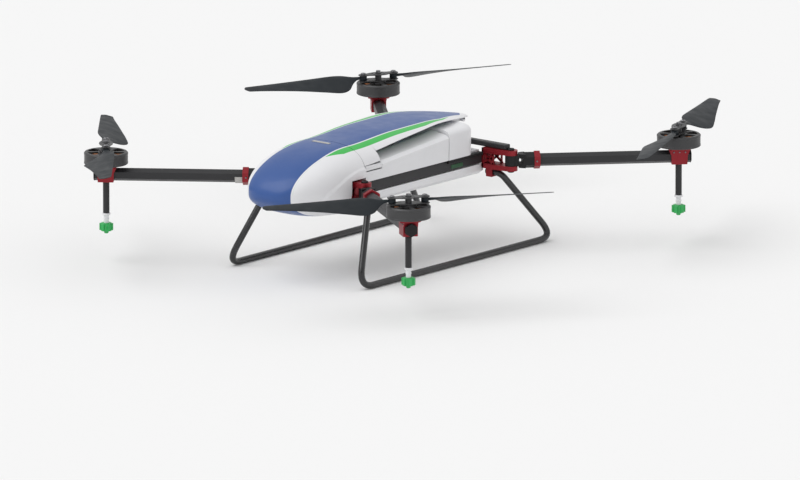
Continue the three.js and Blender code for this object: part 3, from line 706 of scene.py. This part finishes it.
def motor(corner):
    r, low, top = BELL["radius"], BELL["bottom"], BELL["top"]
    wall, boss = BELL["wall"], BELL["boss"]
    centre = joint_at(f"rotor_spin_{corner}").xy.to_3d()
    bloom = [(0, low + 3), (boss, low + 3), (boss, top - 4), (r - wall, top - 4), (r - wall, low), (r - 1.2, low),
             (r, low + 1.2), (r, low + 4.5), (r - 0.5, low + 5), (r - 0.5, top - 6), (r, top - 5.5), (r, top - 2.4),
             (r - 2.4, top), (boss + 2, top), (boss, top + 1), (boss, top + 3), (0, top + 3)]
    windows = []
    for i in range(6):
        arc = [math.radians(60 * i + a) for a in steps(10, -22, 22)]
        sector = [((r - wall - 4) * math.cos(a), (r - wall - 4) * math.sin(a)) for a in arc]
        sector += [((boss + 4) * math.cos(a), (boss + 4) * math.sin(a)) for a in reversed(arc)]
        windows.append(prism(sector, top - 9, top + 6))
    blade_pin = joint_at(f"blade_fold_a_{corner}").xy.to_3d()
    place = towards(centre, blade_pin - centre)
    piece(f"motor_can_{corner}", placed(lathe(bloom, 96), place), f"rotor_{corner}",
          MATERIALS["motor"], bevel=0.35, stands_for=(f"motor_bell_{corner}",),
          cuts=[placed(w, place) for w in windows])
    core = lathe([(16.6, low - 1.5), (42, low - 1.5), (45, low + 2), (45, low + 15), (43, low + 17), (16.6, low + 17)], 48)
    piece(f"stator_core_{corner}", placed(core, Matrix.Translation(centre)), f"arm_{corner}",
          MATERIALS["black"], bevel=0.3)
    coils = []
    for i in range(12):
        turn = Matrix.Rotation(math.radians(30 * i), 4, "Z")
        coil = placed(sweep([Vector((22, 0, 0)), Vector((41, 0, 0))], 4.2, 12), turn)
        coils.append(placed(coil, Matrix.Translation((0, 0, low + 17))))
    piece(f"stator_coils_{corner}", placed(combined(*coils), Matrix.Translation(centre)), f"arm_{corner}",
          MATERIALS["copper"], sharp=30)
    heads = [screw(Vector((x, y, 123.5)), Vector((0, 0, 1)), 2.4) for x, y in ((13, 6), (-13, 6), (13, -6), (-13, -6))]
    nut = placed(prism(circle(6, 6), 0, 5), Matrix.Translation((0, 0, 125.4)))
    pins = [lathe([(0, 0), (6.4, 0), (6.4, 1.4), (5.2, 2.6), (2.4, 2.6), (2.4, 1.2), (0, 1.2)], 28)] * 2
    caps = [placed(pin, Matrix.Translation((x, 0, 124.8))) for pin, x in zip(pins, (40, -40))]
    piece(f"hub_bolts_{corner}", placed(combined(*heads, nut, *caps), place), f"rotor_{corner}",
          MATERIALS["steel"], bevel=0.25, sharp=30)


BLADE_STATIONS = [
    # share of the span, leading edge, trailing edge, thickness, pitch in degrees
    (0.02, 6, 6, 8.6, 0), (0.06, 7, 8, 8, 12), (0.11, 11, 20, 6, 24), (0.17, 18, 44, 5, 23), (0.25, 21, 56, 4.6, 21),
    (0.38, 20, 51, 4.2, 18), (0.55, 18, 40, 3.6, 15), (0.72, 16, 30, 3, 12.5), (0.88, 14, 21, 2.4, 11),
    (0.98, 12, 17, 2, 10), (1.0, 9, 16, 1.4, 10),
]


def blade_shape():
    knots = [s[0] for s in BLADE_STATIONS]
    rings = []
    shares = steps(70, 0.02, 0.98) + [0.985, 0.99, 0.994, 0.997, 0.999, 1.0]
    for share in shares:
        lead, trail, thick, pitch = (spline(knots, [s[k] for s in BLADE_STATIONS], share) for k in (1, 2, 3, 4))
        tip = 1 - 0.55 * smoothstep(share, 0.975, 1.0) ** 2
        turn = math.radians(pitch)
        ring = []
        for i in range(40):
            angle = 2 * math.pi * i / 40
            along, up = math.cos(angle), math.sin(angle)
            offset = along * (lead if along > 0 else trail) * tip
            lift = power(up, 1.3) * thick * (0.5 if up > 0 else 0.34) * (1 + 0.15 * along)
            ring.append((share * BLADE_SPAN, offset * math.cos(turn) - lift * math.sin(turn),
                         BLADE_Z + offset * math.sin(turn) + lift * math.cos(turn)))
        rings.append(ring)
    low, high = BLADE_Z - 5.6, BLADE_Z + 5.6
    eye = lathe([(3.9, low + 0.6), (4.5, low), (8.4, low), (9, low + 0.6), (9, high - 0.6), (8.4, high),
                 (4.5, high), (3.9, high - 0.6)], 40)
    return combined(loft(rings), eye)


def blades():
    shape = blade_shape()
    for corner in CORNERS:
        centre = joint_at(f"rotor_spin_{corner}").xy.to_3d()
        hand = (1 if "left" in corner else -1) * (-1 if "front" in corner else 1)
        for letter in "ab":
            pin = joint_at(f"blade_fold_{letter}_{corner}").xy.to_3d()
            name = f"blade_{letter}_{corner}"
            piece(f"{name}_foil", placed(shape, towards(pin, pin - centre, hand=hand)), name,
                  MATERIALS["blade"], sharp=50, stands_for=(name,))


def spray_line(corner):
    centre = joint_at(f"rotor_spin_{corner}").xy.to_3d()
    body, move = f"arm_{corner}", Matrix.Translation(centre)
    r, top, low = SPRAY["tube_radius"], SPRAY["top"], SPRAY["adapter"]
    tube = lathe([(0, low), (r - 0.6, low), (r, low + 0.6), (r, top - 0.6), (r - 0.6, top), (0, top)], 40)
    piece(f"spray_pipe_{corner}", placed(tube, move), body, MATERIALS["carbon"],
          stands_for=(f"spray_tube_{corner}",))
    outline = [(0, -0.3), (9.3, -0.3), (10.2, -1.3), (10.2, -4), (9.4, -5), (8, -5.4), (6.4, -6), (6.2, -12), (7.1, -12.6),
               (7.1, -15), (6.2, -15.6), (6.2, -24), (0, -24)]
    ring = lathe([(radius, low + z) for radius, z in outline], 40)
    piece(f"nozzle_fitting_{corner}", placed(ring, move), body, MATERIALS["white"],
          stands_for=(f"nozzle_adapter_{corner}",))


def dress_cad():
    plain = {
        "spray_tank": ("white", 2.0), "tank_cap": ("black", 1.0), "hood_latch": ("grey", 1.2),
        "battery_pack": ("black", 2.0), "flight_controller": ("black", 2.0), "spray_pump": ("black", 1.0),
        "left_rail": ("carbon", 1.4), "right_rail": ("carbon", 1.4), "front_crossbar": ("carbon", 1.2),
        "rear_crossbar": ("carbon", 2.4), "belly_plate": ("carbon", 0.6),
    }
    for corner in CORNERS:
        plain[f"arm_fork_{corner}"] = ("black", 0.9)
        plain[f"arm_tube_{corner}"] = ("carbon", 0.9)
        plain[f"motor_mount_{corner}"] = ("red", 0.9)
        plain[f"propeller_hub_{corner}"] = ("motor", 0.5)
        plain[f"nozzle_{corner}"] = ("green", 0.8)
    for node, (material, bevel) in plain.items():
        dress(node, MATERIALS[material], bevel)


# ---------------------------------------------------------------- stage

def floor():
    low = cad_bounds[0].z / MM
    made = add_mesh("floor", ([Vector((x, y, low)) for x, y in circle(60000, 64)], [tuple(range(64))]))
    material = bpy.data.materials.new("floor")
    material.use_nodes = True
    material.node_tree.nodes["Principled BSDF"].inputs["Base Color"].default_value = (0.87, 0.87, 0.87, 1)
    material.node_tree.nodes["Principled BSDF"].inputs["Roughness"].default_value = 0.9
    material.node_tree.nodes["Principled BSDF"].inputs["Specular IOR Level"].default_value = 0.1
    made.data.materials.append(material)


def sun(name, source, strength, spread_degrees):
    lamp = bpy.data.lights.new(name, "SUN")
    lamp.energy = strength
    lamp.angle = math.radians(spread_degrees)
    made = bpy.data.objects.new(name, lamp)
    made.rotation_mode = "QUATERNION"
    made.rotation_quaternion = Vector(source).to_track_quat("Z", "Y")
    bpy.context.scene.collection.objects.link(made)


def lights():
    world = bpy.data.worlds.new("studio")
    world.use_nodes = True
    world.node_tree.nodes["Background"].inputs[0].default_value = (1, 1, 1, 1)
    world.node_tree.nodes["Background"].inputs[1].default_value = 0.75
    bpy.context.scene.world = world
    sun("key", (-0.35, -0.55, 0.9), 1.25, 50)
    bpy.context.scene.view_settings.view_transform = "Standard"


def camera():
    """A long lens, so that the view is all but parallel, at 2.4 mm of width for each of 800 pixels."""
    azimuth, elevation = math.radians(39.35), math.radians(12.65)
    back = Vector((math.sin(azimuth) * math.cos(elevation), -math.cos(azimuth) * math.cos(elevation),
                   math.sin(elevation)))
    right = Vector((math.cos(azimuth), math.sin(azimuth), 0))
    up = back.cross(right)
    aim = Vector((0, 0, 0.102)) + right * 0.0166 - up * 0.2338
    lens = bpy.data.cameras.new("camera")
    lens.lens, lens.sensor_width = 800, 36
    lens.clip_end = 400
    made = bpy.data.objects.new("camera", lens)
    bpy.context.scene.collection.objects.link(made)
    made.location = aim + back * (1.92 * lens.lens / lens.sensor_width)
    made.rotation_mode = "QUATERNION"
    made.rotation_quaternion = (-back).to_track_quat("-Z", "Y")
    bpy.context.scene.camera = made


nose_cowl()
rear_hood()
battery_bay()
rail_lamp()
for side in ("left", "right"):
    skid(side)
    rail_shadow_strip(side)
    tank_shoulder(side)
for corner in CORNERS:
    arm_details(corner)
    hinge_casting(corner)
    motor(corner)
    spray_line(corner)
blades()
dress_cad()
floor()
lights()
camera()
